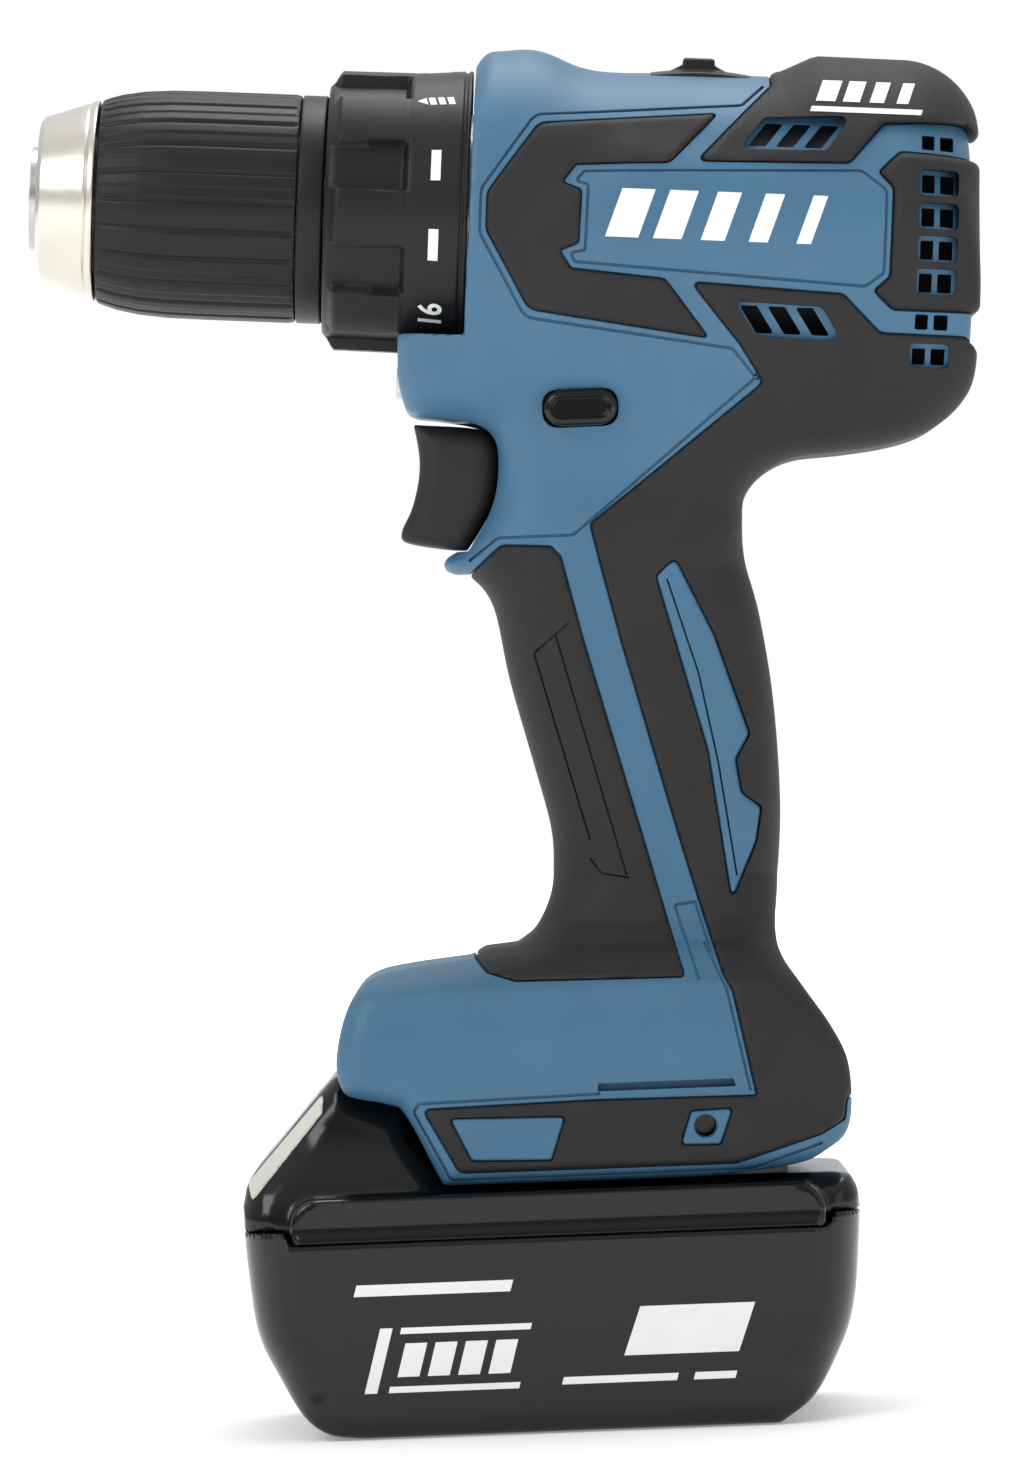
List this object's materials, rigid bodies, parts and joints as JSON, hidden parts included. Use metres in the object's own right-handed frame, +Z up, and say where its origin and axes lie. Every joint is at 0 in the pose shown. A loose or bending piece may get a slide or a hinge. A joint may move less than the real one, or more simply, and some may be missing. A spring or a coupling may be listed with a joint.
{
  "type": "cordless drill driver",
  "caption": "Compact cordless drill driver with keyless chuck, torque ring, two-speed gearbox, trigger handle and slide-on battery.",
  "frame": {"origin": "centre of the battery's flat foot, on the surface the tool stands on", "axes": "+Z up, the chuck points along -X (nose-up by 4.4 degrees), +Y to the tool's right side"},
  "size_m": [0.189, 0.0746, 0.2679],
  "materials": {
    "housing_shell": "fine textured moulded plastic",
    "overmould": "matte elastomer",
    "black_plastic": "moulded plastic",
    "gloss_black": "polished moulded plastic",
    "nose_metal": "turned and nickel plated",
    "dark_steel": "blackened steel",
    "steel": "machined steel",
    "cast_metal": "die cast",
    "motor_core": "laminated steel",
    "copper": "copper alloy",
    "board_green": "circuit board",
    "lens_clear": "clear moulded lens",
    "cell_wrap": "shrink sleeve"
  },
  "bodies": {
    "housing": {"left_housing": "housing_shell", "right_housing": "housing_shell", "left_front_pad": "overmould", "right_front_pad": "overmould", "left_rear_guard": "overmould", "right_rear_guard": "overmould", "left_grip": "overmould", "right_grip": "overmould", "housing_screws": "dark_steel", "gear_case": "cast_metal", "gearbox_plate": "cast_metal", "output_ring_gear": "steel", "spindle_bearings": "steel", "clutch_plate": "steel", "clutch_nut": "steel", "clutch_spring": "steel", "motor_stator": "motor_core", "motor_bearings": "steel", "switch_unit": "black_plastic", "lamp_lens": "lens_clear", "lamp_board": "board_green", "controller": "gloss_black", "terminal_block": "black_plastic"},
    "spindle": {"spindle": "steel", "output_carrier": "steel", "chuck_body": "steel", "chuck_nose": "nose_metal", "chuck_rear_ring": "black_plastic", "chuck_screw": "dark_steel"},
    "chuck_sleeve": {"chuck_sleeve": "black_plastic", "chuck_nut": "dark_steel"},
    "torque_ring": {"torque_ring": "black_plastic"},
    "speed_selector": {"speed_selector": "black_plastic", "shift_fork": "steel", "shift_ring_gear": "steel"},
    "trigger": {"trigger": "black_plastic"},
    "direction_button": {"direction_button": "gloss_black"},
    "rotor": {"motor_rotor": "motor_core", "motor_shaft": "steel", "motor_fan": "black_plastic"},
    "input_carrier": {"input_carrier": "steel"},
    "battery": {"battery_lower_case": "black_plastic", "battery_upper_case": "black_plastic", "battery_cells": "cell_wrap", "cell_holder": "black_plastic", "cell_straps": "copper", "pack_board": "board_green", "battery_terminals": "copper", "latch_spring": "steel"},
    "battery_latch": {"battery_latch": "black_plastic"},
    "jaw_1": {"jaw_1": "dark_steel"},
    "jaw_2": {"jaw_2": "dark_steel"},
    "jaw_3": {"jaw_3": "dark_steel"},
    "planet_output_1": {"planet_output_1": "steel"},
    "planet_output_2": {"planet_output_2": "steel"},
    "planet_output_3": {"planet_output_3": "steel"},
    "planet_input_1": {"planet_input_1": "steel"},
    "planet_input_2": {"planet_input_2": "steel"},
    "planet_input_3": {"planet_input_3": "steel"}
  },
  "joints": [
    {"name": "spindle_spin", "type": "hinge", "parent": "housing", "child": "spindle", "pos_m": [-0.009, 0, 0.236], "axis": [-0.9971, 0, 0.0767], "continuous": true},
    {"name": "input_carrier_spin", "type": "hinge", "parent": "housing", "child": "input_carrier", "pos_m": [-0.009, 0, 0.236], "axis": [-0.9971, 0, 0.0767], "continuous": true},
    {"name": "rotor_spin", "type": "hinge", "parent": "housing", "child": "rotor", "pos_m": [-0.009, 0, 0.236], "axis": [-0.9971, 0, 0.0767], "continuous": true},
    {"name": "planet_output_1_spin", "type": "hinge", "parent": "spindle", "child": "planet_output_1", "pos_m": [0.00436, 0.012, 0.23497], "axis": [-0.9971, 0, 0.0767], "continuous": true},
    {"name": "planet_input_1_spin", "type": "hinge", "parent": "input_carrier", "child": "planet_input_1", "pos_m": [0.01473, 0.012, 0.23417], "axis": [-0.9971, 0, 0.0767], "continuous": true},
    {"name": "planet_output_2_spin", "type": "hinge", "parent": "spindle", "child": "planet_output_2", "pos_m": [0.00516, -0.006, 0.24533], "axis": [-0.9971, 0, 0.0767], "continuous": true},
    {"name": "planet_input_2_spin", "type": "hinge", "parent": "input_carrier", "child": "planet_input_2", "pos_m": [0.01553, -0.006, 0.24454], "axis": [-0.9971, 0, 0.0767], "continuous": true},
    {"name": "planet_output_3_spin", "type": "hinge", "parent": "spindle", "child": "planet_output_3", "pos_m": [0.00356, -0.006, 0.22461], "axis": [-0.9971, 0, 0.0767], "continuous": true},
    {"name": "planet_input_3_spin", "type": "hinge", "parent": "input_carrier", "child": "planet_input_3", "pos_m": [0.01393, -0.006, 0.22381], "axis": [-0.9971, 0, 0.0767], "continuous": true},
    {"name": "sleeve_turn", "type": "hinge", "parent": "spindle", "child": "chuck_sleeve", "pos_m": [-0.009, 0, 0.236], "axis": [-0.9971, 0, 0.0767], "range_deg": [0, 2880]},
    {"name": "jaw_1_slide", "type": "slide", "parent": "spindle", "child": "jaw_1", "axis": [-0.9796, 0, -0.2011], "range_m": [0, 0.0212]},
    {"name": "jaw_2_slide", "type": "slide", "parent": "spindle", "child": "jaw_2", "axis": [-0.9479, 0.2387, 0.2112], "range_m": [0, 0.0212]},
    {"name": "jaw_3_slide", "type": "slide", "parent": "spindle", "child": "jaw_3", "axis": [-0.9479, -0.2387, 0.2112], "range_m": [0, 0.0212]},
    {"name": "torque_ring_turn", "type": "hinge", "parent": "housing", "child": "torque_ring", "pos_m": [-0.009, 0, 0.236], "axis": [-0.9971, 0, 0.0767], "range_deg": [-32, 258]},
    {"name": "speed_shift", "type": "slide", "parent": "housing", "child": "speed_selector", "axis": [-0.9971, 0, 0.0767], "range_m": [0, 0.005]},
    {"name": "trigger_pull", "type": "slide", "parent": "housing", "child": "trigger", "axis": [1, 0, 0], "range_m": [0, 0.0065], "stiffness_N_per_m": 800, "springref_m": -0.004},
    {"name": "direction_slide", "type": "slide", "parent": "housing", "child": "direction_button", "axis": [0, 1, 0], "range_m": [-0.0035, 0.0035]},
    {"name": "battery_slide", "type": "slide", "parent": "housing", "child": "battery", "axis": [-1, 0, 0], "range_m": [0, 0.105]},
    {"name": "latch_press", "type": "slide", "parent": "battery", "child": "battery_latch", "axis": [0, 0, -1], "range_m": [0, 0.0035], "stiffness_N_per_m": 900, "springref_m": -0.003, "deforming": ["latch_spring"]}
  ],
  "couplings": [
    {"joint": "input_carrier_spin", "follows": "spindle_spin", "ratio": 5},
    {"joint": "rotor_spin", "follows": "spindle_spin", "ratio": 25},
    {"joint": "planet_output_1_spin", "follows": "spindle_spin", "ratio": -2.6667},
    {"joint": "planet_input_1_spin", "follows": "spindle_spin", "ratio": -13.333},
    {"joint": "planet_output_2_spin", "follows": "spindle_spin", "ratio": -2.6667},
    {"joint": "planet_input_2_spin", "follows": "spindle_spin", "ratio": -13.333},
    {"joint": "planet_output_3_spin", "follows": "spindle_spin", "ratio": -2.6667},
    {"joint": "planet_input_3_spin", "follows": "spindle_spin", "ratio": -13.333},
    {"joint": "jaw_1_slide", "follows": "sleeve_turn", "m_per_rad": 0.0004138},
    {"joint": "jaw_2_slide", "follows": "sleeve_turn", "m_per_rad": 0.0004138},
    {"joint": "jaw_3_slide", "follows": "sleeve_turn", "m_per_rad": 0.0004138}
  ]
}
